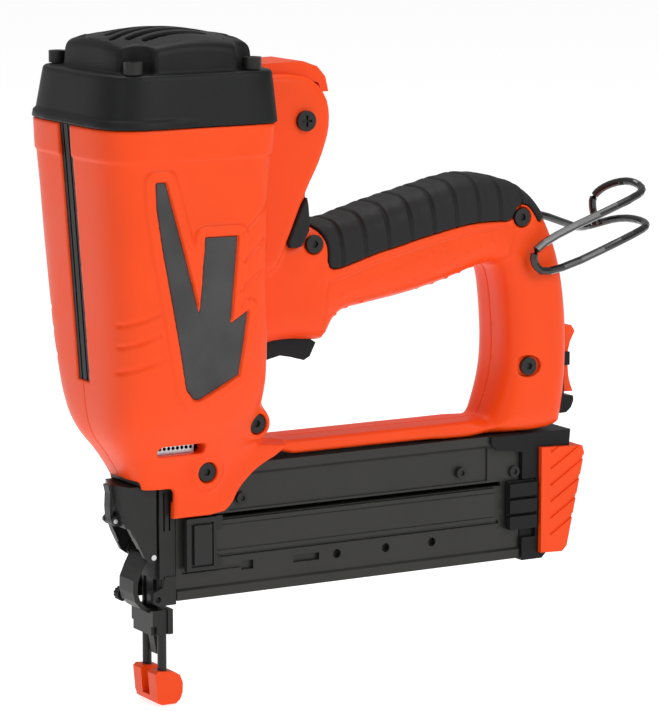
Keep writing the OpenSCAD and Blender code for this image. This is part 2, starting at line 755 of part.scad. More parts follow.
module brad_strip() {
    color("#C9CBCE") for (i = [0:brad_count - 1]) {
        block([1 + brad_pitch * i, -0.5, brad_z], [2.2 + brad_pitch * i + eps, 0.5, brad_z + brad_len]);
        block([1 + brad_pitch * i, -0.95, brad_z + brad_len - 1],
            [2.2 + brad_pitch * i + eps, 0.95, brad_z + brad_len]);
    }
}

module mag_latch() {
    color("#151617") {
        block([169.5, -14.2, 60], [184, -12.8, 82]);
        for (z = [60, 67.5, 75]) block([169.5, -16.6, z], [184, -14, z + 6]);
    }
}

module mag_screws() {
    color("#3C3E41") for (x = [34, 146, 174]) difference() {
        union() {
            y_rod(x, x == 174 ? 86 : 88, 1.5, -12.5, -10.6);
            y_rod(x, x == 174 ? 86 : 88, 2.6, -13.4, x == 174 ? -12 : -11.2);
        }
        y_rod(x, x == 174 ? 86 : 88, 1.2, -14, -12.6);
    }
}

module end_outline(off) {
    side_plate([[177.2, 45], [188 + off, 45], [193 + off, 50], [202 + off, 92], [203, 103.2], [177.2, 103.2]],
        -14.5 - off, 14.5 + off);
}

module mag_end_cap() {
    color("#141516") difference() {
        end_outline(0);
        block([170, -10, 50], [184, 10, 96]);
        block([170, -20, 55.5], [184.4, -12.5, 82.5]);
    }
    color("#141516") for (s = [1, -1]) scale([1, s, 1])
        side_plate([[163, 97], [178, 95], [178, 103.2], [160, 103.2], [160, 100]], 14.2, 15.6);
}

module end_bumper() {
    color(orange) difference() {
        side_plate([[186, 48], [197.5, 47.5], [200, 50], [209, 92], [208, 95.5], [186, 96.5]], -17, 17);
        end_outline(0.1);
        for (s = [1, -1]) for (i = [0:5]) translate([184, s * 17, 52 + 7.6 * i]) rotate([0, -32, 0])
            translate([8, -0.7, -0.8]) cube([26, 1.4, 1.6]);
    }
}

module grip_rubber() {
    color(charcoal) difference() {
        intersection() {
            grip_sweep(stations, 0.6);
            side_plate(rubber_outline, -30, 30);
        }
        grip_sweep(stations, -rubber_t + 0.05);
        translate([cell_x, 0, 180]) cylinder(r = bay_half_w + 2.4, h = 100);
        translate([175, bush_y, bush_z]) rotate([0, 90, 0]) cylinder(r = 4.2, h = 40);
    }
}

module neck_pads() {
    color(charcoal) intersection() {
        pad_zone(1.95);
        block([30, -wing_half_w - 0.3, 150], [100, wing_half_w + 0.3, 260]);
    }
}

module trigger() {
    color("#3B3D3F") difference() {
        union() {
            side_plate([[50, 146], [57, 147.5], [62, 146.5], [69, 144.5], [72, 146], [75, 152], [70, 155],
                [62, 156], [58, 159], [50, 159]], -5.5, 5.5);
            y_rod(trig_x, trig_z, 4, -5.5, 5.5);
        }
        y_rod(trig_x, trig_z, 1.56, -7, 7);
    }
}

module trigger_pin() {
    color(steel) y_rod(trig_x, trig_z, 1.5, -5.9, 5.9);
}

module trigger_spring() {
    color("#8E9094") coil(62, 157, 166.9, 2.2, 0.5, 5);
}

module trigger_switch() {
    color("#1A1B1C") {
        block([68, -5, 163], [80, 5, 170]);
        block([72, -1.5, 161.6], [74, 1.5, 163.1]);
    }
}

module circuit_board() {
    color("#1F6B3A") block([92, -9, 196], [138, 9, 197.6]);
    color("#26282A") {
        block([96, -6, 197.5], [108, 6, 203]);
        translate([118, 0, 197.5]) cylinder(r = 5, h = 10);
        translate([130, 0, 197.5]) cylinder(r = 4, h = 8);
    }
}

module fuel_door() {
    color(orange) difference() {
        union() {
            side_plate([[40.3, 268], [40.3, 275.5], [64, 276], [71, 273.5], [75, 269], [76.5, 262.5],
                [73, 262.5], [71.5, 266.5], [67, 268]], -14, 14);
            for (s = [1, -1]) scale([1, s, 1])
                side_plate([[57, 247], [66, 247], [67.5, 250], [67.5, 258], [70, 269], [48, 269], [55, 252]], 12.3, 14);
        }
        y_rod(pivot_x, pivot_z, 2.06, -20, 20);
        block([42.8, -11, 260], [70, 11, 272.5]);
    }
}

module door_screws() {
    color("#202123") for (s = [1, -1]) scale([1, s, 1]) difference() {
        union() {
            y_rod(pivot_x, pivot_z, 2, 12.4, 20.5);
            y_rod(pivot_x, pivot_z, 4.4, wing_half_w + 0.02, wing_half_w + 2);
        }
        block([pivot_x - 2.5, wing_half_w + 0.8, pivot_z - 0.5], [pivot_x + 2.5, 30, pivot_z + 0.5]);
        block([pivot_x - 0.5, wing_half_w + 0.8, pivot_z - 2.5], [pivot_x + 0.5, 30, pivot_z + 2.5]);
    }
}

module fuel_cell() {
    color("#D7D9DB") translate([cell_x, 0, 0]) rotate_extrude() polygon([[0, 200.5], [cell_r - 1, 200.5],
        [cell_r, 202], [cell_r, 250], [cell_r - 3, 255], [4.5, 256], [4.5, 258.4], [0, 258.4]]);
}

module metering_valve() {
    color("#2468A8") {
        translate([cell_x, 0, 258.5]) cylinder(r = 8, h = 4);
        block([42, -3, 259], [52, 3, 262]);
        translate([cell_x, 0, 262]) cylinder(r = 3, h = 3);
    }
}

module battery_bay() {
    color("#2C2E30") difference() {
        block([bay_x, -bay_w, bay_z0], [195.6, bay_w, bay_z1]);
        block([bay_x + 3, -11.1, bay_z0 + 2.6], [200, 11.1, bay_z1 - 2.6]);
        for (y = [-6, 6]) translate([bay_x - 1, y, 131]) rotate([0, 90, 0]) cylinder(r = 1.6, h = 6);
        y_rod(178.3, 134.5, 1.75, -15, -10.5);
    }
}

module battery_contacts() {
    color("#C9A24A") for (y = [-6, 6]) translate([bay_x, y, 131]) rotate([0, 90, 0])
        cylinder(r = 1.5, h = 3.5);
}

module battery_pack() {
    color("#101112") {
        block([bay_x + 3.9, -10.7, bay_z0 + 3], [196.4, 10.7, bay_z1 - 3]);
        side_plate([[196.3, 110.4], [202, 110.6], [204.6, 112.8], [205.8, 115.8], [205.6, 118],
            [200.6, 118.6], [200.6, 150.5], [199, 153], [196.3, 153.6]], -12.5, 12.5);
        pair_block([200, 9.4, latch_z - 3], [latch_x + 1.7, 11, latch_z + 3]);
        y_rod(latch_x, latch_z, latch_bore - running, -11, 11);
    }
}

module battery_latch() {
    color(orange) difference() {
        union() {
            side_plate([[201.8, 119.6], [207.6, 119.4], [206.2, 123], [205.2, 127], [204.7, 133],
                [204.8, 138], [206, 142.5], [208.4, 147], [206.6, 149.8], [201.8, 150.2]], -9, 9);
            y_rod(latch_x, latch_z, 2, -9, 9);
        }
        y_rod(latch_x, latch_z, latch_bore, -10, 10);
        for (i = [0:3]) block([206.5, -7, 143.6 + 1.6 * i], [209, 7, 144.2 + 1.6 * i]);
    }
}

module hook_wire() {
    color("#0B0B0C") wire(corner_cut(corner_cut(hook_points)), hook_wire_r, 10);
}

module hook_bush() {
    color(steel) translate([177.2, bush_y, bush_z]) rotate([0, 90, 0]) difference() {
        cylinder(r = 3.9, h = 11);
        translate([0, 0, -1]) cylinder(r = hook_wire_r + running, h = 14);
    }
}

module housing_screws() {
    color("#1A1B1D") for (s = screw_list) difference() {
        union() {
            y_rod(s[0], s[1], 1.75, 1 - s[2], s[3]);
            y_rod(s[0], s[1], 4, 0.2 - s[2], 2.1 - s[2]);
        }
        translate([s[0], 0.1 - s[2], s[1]]) rotate([-90, 0, 0]) cylinder(r = 1.7, h = 1.3, $fn = 6);
    }
}

housing_near();
housing_far();
front_strip();
inlay_near();
inlay_far();
vent_mesh();
cap_cover();
cap_screws();
air_filter();
cylinder_head();
head_seal();
fan_motor();
fan();
spark_plug();
combustion_sleeve();
sleeve_spring();
linkage_yoke();
cylinder_tube();
reed_band();
bumper();
piston();
piston_ring();
driver_blade();
nose_casting();
nose_door();
door_pin();
jam_lever();
lever_pin();
depth_wheel();
probe();
no_mar_tip();
mag_channel();
mag_rail();
follower();
follower_spring();
brad_strip();
mag_latch();
mag_screws();
mag_end_cap();
end_bumper();
grip_rubber();
neck_pads();
trigger();
trigger_pin();
trigger_spring();
trigger_switch();
circuit_board();
fuel_door();
door_screws();
fuel_cell();
metering_valve();
battery_bay();
battery_contacts();
battery_pack();
battery_latch();
hook_wire();
hook_bush();
housing_screws();
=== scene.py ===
import bpy
import json
import math
import numpy as np
import openvdb as vdb
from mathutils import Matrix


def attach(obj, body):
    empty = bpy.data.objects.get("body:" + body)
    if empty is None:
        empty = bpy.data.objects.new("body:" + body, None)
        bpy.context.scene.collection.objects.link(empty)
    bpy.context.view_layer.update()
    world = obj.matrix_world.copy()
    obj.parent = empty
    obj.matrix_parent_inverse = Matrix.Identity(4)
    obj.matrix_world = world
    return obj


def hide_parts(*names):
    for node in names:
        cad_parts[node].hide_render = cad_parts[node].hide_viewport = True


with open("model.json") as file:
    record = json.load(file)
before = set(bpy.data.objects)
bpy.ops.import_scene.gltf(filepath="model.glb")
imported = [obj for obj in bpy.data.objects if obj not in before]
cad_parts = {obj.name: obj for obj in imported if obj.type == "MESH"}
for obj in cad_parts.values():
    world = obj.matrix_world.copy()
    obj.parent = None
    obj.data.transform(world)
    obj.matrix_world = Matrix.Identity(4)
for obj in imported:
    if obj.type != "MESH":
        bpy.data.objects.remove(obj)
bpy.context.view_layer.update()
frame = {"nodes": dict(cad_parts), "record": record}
MM = 0.001
NODES = frame["nodes"]

# ---------------------------------------------------------------- shape fields, in millimetres


def smin(a, b, k):
    """Smooth union."""
    h = np.clip(0.5 + 0.5 * (b - a) / k, 0, 1)
    return b + (a - b) * h - k * h * (1 - h)


def smax(a, b, k):
    """Smooth intersection."""
    return -smin(-a, -b, k)


def step(v, lo, hi):
    """Smooth step from 0 at lo to 1 at hi."""
    t = np.clip((v - lo) / (hi - lo), 0, 1)
    return t * t * (3 - 2 * t)


def rounded(points, times):
    """Cuts the corners of a closed outline, each time by a quarter of both edges."""
    p = np.array(points, float)
    for _ in range(times):
        q = np.roll(p, -1, axis=0)
        p = np.stack([p * 0.75 + q * 0.25, p * 0.25 + q * 0.75], 1).reshape(-1, 2)
    return p


def polygon_distance(x, z, pts):
    """Signed distance to a polygon, negative inside."""
    d = np.full(np.broadcast(x, z).shape, 1e9)
    inside = np.zeros(d.shape, bool)
    n = len(pts)
    for i in range(n):
        ax, az = pts[i]
        bx, bz = pts[(i + 1) % n]
        ex, ez = bx - ax, bz - az
        t = np.clip(((x - ax) * ex + (z - az) * ez) / (ex * ex + ez * ez + 1e-12), 0, 1)
        d = np.minimum(d, (x - ax - ex * t) ** 2 + (z - az - ez * t) ** 2)
        if az != bz:
            inside ^= ((az > z) != (bz > z)) & (x < (bx - ax) * (z - az) / (bz - az) + ax)
    return np.where(inside, -1.0, 1.0) * np.sqrt(d)


class Outline:
    """Signed distance to an outline in the XZ plane, kept on a fine grid."""

    def __init__(self, points, times=2, pitch=0.3, margin=26):
        p = rounded(points, times)
        self.lo = p.min(0) - margin
        self.pitch = pitch
        n = np.ceil((p.max(0) + margin - self.lo) / pitch).astype(int) + 1
        gx = self.lo[0] + pitch * np.arange(n[0])
        gz = self.lo[1] + pitch * np.arange(n[1])
        self.grid = polygon_distance(gx[:, None], gz[None, :], p).astype(np.float32)

    def __call__(self, x, z):
        u = (x - self.lo[0]) / self.pitch
        v = (z - self.lo[1]) / self.pitch
        nu, nv = self.grid.shape
        uc, vc = np.clip(u, 0, nu - 1.001), np.clip(v, 0, nv - 1.001)
        beyond = np.hypot(u - uc, v - vc) * self.pitch
        i, j = uc.astype(int), vc.astype(int)
        fu, fv = uc - i, vc - j
        g = self.grid
        flat = g.ravel()
        k = i * nv + j
        val = (flat[k] * (1 - fu) + flat[k + nv] * fu) * (1 - fv) \
            + (flat[k + 1] * (1 - fu) + flat[k + nv + 1] * fu) * fv
        return val + beyond


def box_field(x, y, z, lo, hi, r=0.0):
    """Signed distance to a box whose edges are rounded by r."""
    q = [np.abs(v - (a + b) / 2) - (b - a) / 2 + r for v, a, b in zip((x, y, z), lo, hi)]
    out = np.sqrt(sum(np.maximum(v, 0) ** 2 for v in q))
    return out + np.minimum(np.maximum(np.maximum(q[0], q[1]), q[2]), 0) - r


def segment_distance(x, z, a, b):
    """Distance to a straight line from a to b in the XZ plane."""
    ex, ez = b[0] - a[0], b[1] - a[1]
    t = np.clip(((x - a[0]) * ex + (z - a[1]) * ez) / (ex * ex + ez * ez), 0, 1)
    return np.hypot(x - a[0] - ex * t, z - a[1] - ez * t)


# ---------------------------------------------------------------- meshing


BLOCK = 20              # samples along a block's edge
HALF_DIAGONAL = 0.87    # of a unit cube
PULLS = 3               # times each vertex is moved towards the surface
PROBE = 0.04            # half the distance over which a field's slope is taken


def surface(name, field, lo, hi, pitch):
    """Meshes a field's zero surface and pulls each vertex onto it."""
    lo, hi = np.array(lo, float), np.array(hi, float)
    n = np.ceil((hi - lo) / pitch).astype(int) + 1
    band = 3 * pitch
    grid = np.full(n, band, np.float32)
    axes = [lo[i] + pitch * np.arange(n[i]) for i in range(3)]
    reach = pitch * BLOCK * HALF_DIAGONAL * 1.5 + 2 * pitch
    for corner in np.ndindex(*(-(-n // BLOCK))):
        sl = tuple(slice(c * BLOCK, min((c + 1) * BLOCK, m)) for c, m in zip(corner, n))
        ax = [axes[m][sl[m]] for m in range(3)]
        # a block whose middle is far from the surface is all inside or all outside
        v = float(field(*[np.array([(a[0] + a[-1]) / 2]) for a in ax])[0])
        if abs(v) > reach:
            grid[sl] = math.copysign(band, v)
            continue
        val = field(ax[0][:, None, None], ax[1][None, :, None], ax[2][None, None, :])
        grid[sl] = np.clip(np.broadcast_to(val, grid[sl].shape), -band, band)
    g = vdb.FloatGrid(band)
    g.copyFromArray(grid)
    pts, quads = g.convertToQuads(0.0)
    p = lo + pts.astype(float) * pitch
    e = PROBE
    for _ in range(PULLS):
        x, y, z = p.T
        d = field(x, y, z)
        gr = np.stack([field(x + e, y, z) - field(x - e, y, z), field(x, y + e, z) - field(x, y - e, z),
                       field(x, y, z + e) - field(x, y, z - e)], 1) / (2 * e)
        g2 = np.maximum((gr * gr).sum(1), 0.2)
        move = -(d / g2)[:, None] * gr
        size = np.linalg.norm(move, axis=1)
        move *= np.minimum(1, 0.5 * pitch / np.maximum(size, 1e-9))[:, None]
        p += move
    mesh = bpy.data.meshes.new(name)
    mesh.vertices.add(len(p))
    mesh.vertices.foreach_set("co", (p * MM).ravel())
    mesh.loops.add(quads.size)
    mesh.loops.foreach_set("vertex_index", quads[:, ::-1].ravel().astype(np.int32))
    mesh.polygons.add(len(quads))
    mesh.polygons.foreach_set("loop_start", np.arange(0, quads.size, 4, dtype=np.int32))
    mesh.polygons.foreach_set("use_smooth", np.ones(len(quads), bool))
    mesh.update()
    mesh.validate()
    obj = bpy.data.objects.new(name, mesh)
    bpy.context.scene.collection.objects.link(obj)
    return obj


# ---------------------------------------------------------------- materials


CLOUD_SCALE = 38.0      # soft patches per metre
GRAIN_HEIGHT = 0.0002   # metres
GLOSS_SPREAD = 0.15     # share by which the roughness varies


def material(name, base, rough, metallic=0.0, grain=0.0, grain_size=0.0006, tint=0.06, coat=0.0,
             specular=0.5):
    """Procedural plastic, rubber or metal: colour and gloss vary softly, and the grain is a bump."""
    m = bpy.data.materials.new(name)
    m.use_nodes = True
    nt = m.node_tree
    n, link = nt.nodes, nt.links
    b = n["Principled BSDF"]
    b.inputs["Metallic"].default_value = metallic
    b.inputs["Specular IOR Level"].default_value = specular
    b.inputs["Coat Weight"].default_value = coat
    b.inputs["Coat Roughness"].default_value = 0.12
    co = n.new("ShaderNodeTexCoord")
    cloud = n.new("ShaderNodeTexNoise")
    cloud.inputs["Scale"].default_value = CLOUD_SCALE
    cloud.inputs["Detail"].default_value = 5.0
    link.new(co.outputs["Object"], cloud.inputs["Vector"])
    ramp = n.new("ShaderNodeValToRGB")
    ramp.color_ramp.elements[0].position = 0.3
    ramp.color_ramp.elements[1].position = 0.7
    lo = [c * (1 - tint) for c in base]
    hi = [min(c * (1 + tint), 1.0) for c in base]
    ramp.color_ramp.elements[0].color = (*lo, 1)
    ramp.color_ramp.elements[1].color = (*hi, 1)
    link.new(cloud.outputs["Fac"], ramp.inputs["Fac"])
    link.new(ramp.outputs["Color"], b.inputs["Base Color"])
    fine = n.new("ShaderNodeTexNoise")
    fine.inputs["Scale"].default_value = 1.0 / grain_size
    fine.inputs["Detail"].default_value = 3.0
    link.new(co.outputs["Object"], fine.inputs["Vector"])
    mix = n.new("ShaderNodeMapRange")
    mix.inputs["From Min"].default_value = 0.3
    mix.inputs["From Max"].default_value = 0.7
    mix.inputs["To Min"].default_value = rough * (1 - GLOSS_SPREAD)
    mix.inputs["To Max"].default_value = min(rough * (1 + GLOSS_SPREAD), 1.0)
    link.new(cloud.outputs["Fac"], mix.inputs["Value"])
    link.new(mix.outputs["Result"], b.inputs["Roughness"])
    if grain:
        bump = n.new("ShaderNodeBump")
        bump.inputs["Strength"].default_value = grain
        bump.inputs["Distance"].default_value = GRAIN_HEIGHT
        link.new(fine.outputs["Fac"], bump.inputs["Height"])
        link.new(bump.outputs["Normal"], b.inputs["Normal"])
    return m


MATS = {
    "orange_plastic": material("orange_plastic", (0.86, 0.063, 0.003), 0.4, grain=0.12, tint=0.03,
                               specular=0.25),
    "charcoal_plastic": material("charcoal_plastic", (0.011, 0.0112, 0.0115), 0.42, grain=0.35,
                                 tint=0.15, specular=0.14),
    "black_rubber": material("black_rubber", (0.014, 0.014, 0.0145), 0.6, grain=0.5, tint=0.15,
                             specular=0.22),
    "black_metal": material("black_metal", (0.015, 0.015, 0.0145), 0.38, grain=0.25, tint=0.2,
                            specular=0.28),
    "black_anodised": material("black_anodised", (0.022, 0.022, 0.02), 0.34, grain=0.2, tint=0.15,
                               specular=0.3),
    "bright_steel": material("bright_steel", (0.55, 0.56, 0.58), 0.3, metallic=1.0, grain=0.1),
    "black_gloss": material("black_gloss", (0.006, 0.006, 0.006), 0.3, grain=0.05, specular=0.12),
    "grey_inlay": material("grey_inlay", (0.045, 0.045, 0.046), 0.5, grain=0.8, grain_size=0.0009,
                           tint=0.35, specular=0.3),
    "aluminium": material("aluminium", (0.62, 0.63, 0.65), 0.35, metallic=1.0, grain=0.2),
    "foam": material("foam", (0.12, 0.12, 0.11), 0.9, grain=1.0, grain_size=0.0015),
    "ceramic": material("ceramic", (0.8, 0.79, 0.75), 0.15, grain=0.02),
    "board_green": material("board_green", (0.02, 0.15, 0.05), 0.3, grain=0.1),
    "cell_metal": material("cell_metal", (0.75, 0.76, 0.78), 0.25, metallic=0.9, grain=0.05),
    "valve_blue": material("valve_blue", (0.02, 0.1, 0.3), 0.3, grain=0.05),
    "contact_brass": material("contact_brass", (0.7, 0.45, 0.15), 0.25, metallic=1.0, grain=0.05),
    "wire_black": material("wire_black", (0.008, 0.008, 0.008), 0.16, metallic=0.2, coat=0.5,
                           grain=0.04),
}
for part in frame["record"]["subparts"]:
    obj = NODES[part["node"]]
    obj.data.materials.clear()
    obj.data.materials.append(MATS[part["material_slot"]])


def finish_piece(obj, slot, body, *nodes):
    """Gives a piece its material, its body and the CAD nodes it replaces."""
    obj.data.materials.append(MATS[slot])
    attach(obj, body)
    if nodes:
        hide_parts(*nodes)
    return obj


# ---------------------------------------------------------------- housing

# the body column by height: Z, front X, rear X, half width
LEVELS = np.array([
    [96, -17.6, 28, 17.8], [100, -18, 30, 18], [104, -20.5, 36, 19.3], [110, -24, 39, 21.5],
    [114, -27, 39.3, 23.9], [118.6, -30.6, 39.4, 27], [122.7, -32.4, 39.3, 30], [127, -33.6, 39, 33],
    [135, -34.8, 38.5, 36], [143, -35.3, 38, 37.8], [151, -35.8, 37, 38.9], [160, -36.4, 36, 40.3],
    [175, -37.4, 35, 41.6], [200, -39.3, 34.5, 43.2], [225, -41, 35, 44], [239, -42.2, 35.5, 44.8],
    [262, -43, 38, 45.2]])
LEVEL_Z = np.arange(80.0, 280.0, 1.0)
SPREAD = 9
KERNEL = np.exp(-0.5 * (np.arange(-SPREAD, SPREAD + 1) / 2.4) ** 2)
KERNEL /= KERNEL.sum()


def soft_levels(i):
    """One column of the table at every LEVEL_Z, with its corners smoothed."""
    raw = np.interp(LEVEL_Z, LEVELS[:, 0], LEVELS[:, i])
    return np.convolve(np.pad(raw, SPREAD, mode="edge"), KERNEL, mode="valid")


FRONT, REAR, HALF = [soft_levels(i) for i in (1, 2, 3)]


def squircle(x, y, a, b, n):
    """Rough distance to a rounded rectangle round the Z axis, half sizes a and b, squareness n."""
    r = np.maximum(((np.abs(x) / a) ** n + (np.abs(y) / b) ** n) ** (1 / n), 1e-3)
    return np.sqrt(x * x + y * y) * (1 - 1 / r)


def column(x, y, z):
    """The body column: a rounded square in plan that narrows to the nose."""
    a = np.where(x < 0, -np.interp(z, LEVEL_Z, FRONT), np.interp(z, LEVEL_Z, REAR))
    low = step(z, 165, 120)
    n = np.where(x < 0, 5 - low, 8 - 4 * low)
    return squircle(x, y, a, np.interp(z, LEVEL_Z, HALF), n)


# outlines in the XZ plane: the handle loop with its window, the fuel bay's wing, the foot over the
# magazine, the side inlay, the grip rubber, the finger panel and the neck pad
LOOP = Outline([[20, 104.6], [128, 104.6], [137, 103.8], [160, 103.5], [197.5, 103.5], [199.4, 112],
                [200.8, 121], [201.5, 130], [201.8, 138], [201.8, 147], [201.2, 158], [199.6, 171],
                [196.8, 183], [193.5, 192], [190, 199.5], [186, 206], [180, 212.5], [172, 217.2],
                [163, 220], [153, 221.2], [142.5, 219.7], [132, 217.3], [122, 215], [111.5, 212.8],
                [101, 210.2], [91, 207.4], [84, 205.4], [76, 204.8], [66, 204.2], [50, 203],
                [20, 198]], 2)
WINDOW = Outline([[34, 110.9], [100, 110.9], [156, 110.9], [161.5, 111.5], [164.2, 117.5],
                  [166.6, 124], [168.3, 130.5], [169.3, 138], [169.5, 147], [168.9, 156],
                  [168, 166], [166.6, 174.5], [164, 180.2], [158, 181], [146, 177.2],
                  [136.5, 174.4], [126, 172], [116, 170], [105.5, 168.5], [95, 167], [87, 166],
                  [82, 163], [79, 157.8], [76.5, 153], [69, 153.8], [60, 154.7], [48, 154],
                  [39, 150], [34, 144]], 2)
WING = Outline([[20, 180], [20, 250], [39.5, 254], [40, 271.5], [60, 270.8], [68, 267.5],
                [73.3, 261], [75, 254], [74.6, 246], [72, 238], [69, 231], [64, 222], [60, 213],
                [56, 203], [52, 196], [46, 186]], 1)
FOOT = Outline([[-1.5, 83], [-1.5, 83], [22, 83], [27, 87], [30, 93], [36, 99], [42, 103],
                [50, 106.6], [56, 112], [-1, 112]], 1, 0.25)
BOLT = Outline([[-22.8, 231.6], [-18.2, 231.6], [-1.4, 175.5], [0.4, 207.4], [16, 207.2],
                [13.8, 170], [21.8, 175], [19, 147], [1, 137.3], [-2, 137.8], [-6, 142.8],
                [-12, 168.8], [-19, 200.8], [-22.4, 220.8]], 0, 0.2)
RUBBER = Outline([[66, 212], [65.5, 206.5], [67, 205], [71, 203.5], [74, 199], [75, 195],
                  [75, 186.5], [79, 185], [90, 188], [100, 191], [110, 193], [120, 195.5],
                  [130, 197.5], [140, 199.5], [150, 200.8], [160, 201], [168, 200.5], [170, 203],
                  [171.5, 206.5], [174.5, 208], [178, 207], [181, 203.5], [184, 198], [200, 206],
                  [184, 232], [84, 226]], 1, 0.25)
PANEL = Outline([[73.5, 150], [73.5, 181], [80, 181], [100, 187.5], [120, 192], [150, 197.5],
                 [171, 199.5], [171, 192], [167, 184], [158, 179], [150, 170], [100, 160]], 1)
PAD = Outline([[52.4, 196.6], [59.8, 195.8], [62, 199.5], [64.6, 204.5], [63.4, 217.8],
               [61.9, 217.8], [56, 205.3]], 1, 0.2)
# lines sunk into the side, as pairs of X and Z
GROOVES = [((18.8, 208.3), (31.3, 219.3)), ((19.2, 196.4), (29.3, 205.1)),
           ((18.2, 184.2), (27.4, 191.6)), ((18.7, 177.4), (22, 180.1)),
           ((-34.2, 171.3), (-20.5, 175.9)), ((-33.6, 162), (-19.5, 167)), ((-33, 151), (-17, 156.5))]
# housing screws: X, Z, hole radius, depth of the head's seat (|Y|), stretch of the hole along X
SCREWS = [(68, 197, 4.6, 14.9, 1.0), (174.4, 202, 4.6, 15, 1.0), (36, 122, 4.6, 20.6, 1.0),
          (178.3, 134.5, 4.8, 15.6, 1.3), (13, 102.6, 4.6, 18.2, 1.0)]
BOSSES = (2, 4)     # the screws that stand on a boss
GRIP_HALF = 17
GRIP_ROUND = 14     # how far the edges of the grip are rounded


def handle(x, y, z):
    """Grip, rear post and the thin bar over the magazine."""
    side = smax(LOOP(x, z), -WINDOW(x, z), 1.5)
    bar = step(z, 122, 112) * step(x, 164, 148)
    half = GRIP_HALF + step(x, 160, 185) - 4.5 * bar
    k = GRIP_ROUND - 11 * bar - 2.5 * step(x, 160, 172)
    return smax(side, np.abs(y) - half, k)


BODY_TOP = 253.4
BODY_BOTTOM = 96.4
WING_HALF = 20
FOOT_HALF = 18


def outer(x, y, z):
    """The housing's outside, before hollows and fine detail."""
    ya = np.abs(y)
    flange = 0.8 * step(z, 239.2, 240.6)
    col = smax(smax(column(x, y, z) - flange, z - BODY_TOP, 1.2), BODY_BOTTOM - z, 1.2)
    d = smin(col, handle(x, y, z), 10)
    d = smin(d, smax(WING(x, z), ya - WING_HALF, 4), 4)
    d = smin(d, smax(FOOT(x, z), ya - FOOT_HALF, 2), 3)
    for sx, sz, r, depth, _ in [SCREWS[i] for i in BOSSES]:
        boss = smax(np.hypot(x - sx, z - sz) - r - 2.2, ya - depth - 3, 2.5)
        d = smin(d, boss, 5)
    return d


CELL_X = 54         # upright axis of the fuel cell
CELL_BAY = 14.3     # half width of the cell's bay, and radius of its round end
CELL_WALL = 16.4
BORES = [(26.3, 198.75, 48.75), (19.6, 135.5, 15.5)]    # chamber, cylinder: radius, middle, half height
HEAD_BORE = 29.3
HEAD_Z = 246.8
# boxes cut out of the housing, as lower and upper corners
NOSE_ROOM = [((-8, -15.3, 90), (25, 15.3, 124)), ((-15.2, -11.5, 90), (-7, 11.5, 124))]
PROBE_ROOM = [((14.5, -15, 120), (22.5, 15, 200))]
MAGAZINE_ROOM = [((-60, -13.8, 40), (2, 13.8, 100.2)), ((1, -14.2, 40), (60, 14.2, 104.2))]
FUEL_ROOM = [((lo_x, -CELL_BAY, lo_z), (hi_x, CELL_BAY, 300))
             for lo_x, hi_x, lo_z in ((41, CELL_X, 200), (39, 90, 262), (71.5, 90, 228), (60, 90, 258))]
TRIGGER_ROOM = [((45, -6, 120), (79, 6, 167)), ((64, -6, 160), (84, 6, 172))]
BATTERY_ROOM = [((174.3, -12.9, 109.4), (230, 12.9, 154.6))]
BOARD_ROOM = [((92, -10, 184), (140, 10, 203.6))]


def hollow(x, y, z):
    """What is cut out of the housing."""
    ya = np.abs(y)
    rr = np.hypot(x, y)
    cut = np.maximum(rr - HEAD_BORE, HEAD_Z - z)
    for radius, middle, half in BORES:
        cut = np.minimum(cut, np.maximum(rr - radius, np.abs(z - middle) - half))
    for lo, hi in (NOSE_ROOM + PROBE_ROOM + MAGAZINE_ROOM + FUEL_ROOM + TRIGGER_ROOM + BATTERY_ROOM
                   + BOARD_ROOM):
        cut = np.minimum(cut, box_field(x, y, z, lo, hi, 0.8))
    cell = np.maximum(np.hypot(x - CELL_X, y) - CELL_BAY, 200 - z)
    hook_bush = np.maximum(np.hypot(y - 3, z - 200.5) - 4, 177 - x)
    channel_back = np.interp(z, [145, 255], [-31.8, -39.6])
    channel = np.maximum(np.maximum(ya - 5.6, x - channel_back), 143.7 - z)
    vent = np.maximum(np.hypot(np.maximum(np.abs(x + 1) - 9, 0), z - 114) - 2.5, 16 - ya)
    for room in (cell, hook_bush, channel, vent):
        cut = np.minimum(cut, room)
    return cut


DOT_GAP = 8.5


def relief(x, y, z):
    """Raised and sunk detail of the outside, as a height."""
    ya = np.abs(y)
    side = step(ya, 22, 27)
    # a raised frame round the inlay, and the seat the inlay lies in
    bolt = BOLT(x, z)
    h = 0.9 * step(bolt, 5.3, 4.3) * side
    h = h - 1.8 * step(bolt, 0.5, -0.1) * side
    for a, b in GROOVES:
        h = h - 0.9 * np.exp(-(segment_distance(x, z, a, b) / 0.85) ** 2) * side
    # the finger panel's edge, and the dots inside it
    panel = PANEL(x, z)
    near_grip = step(x, 60, 66)
    h = h - 0.5 * np.exp(-(panel / 0.6) ** 2) * near_grip
    u, v = (x + 0.9 * z) / DOT_GAP, (z - 0.35 * x) / DOT_GAP
    dot = np.hypot(u - np.round(u), v - np.round(v)) * DOT_GAP
    h = h + 0.45 * np.exp(-(dot / 0.9) ** 2) * step(panel, -2.2, -3.2) * near_grip
    # the parting line between the halves
    return h - 0.22 * np.exp(-(y / 0.3) ** 2)


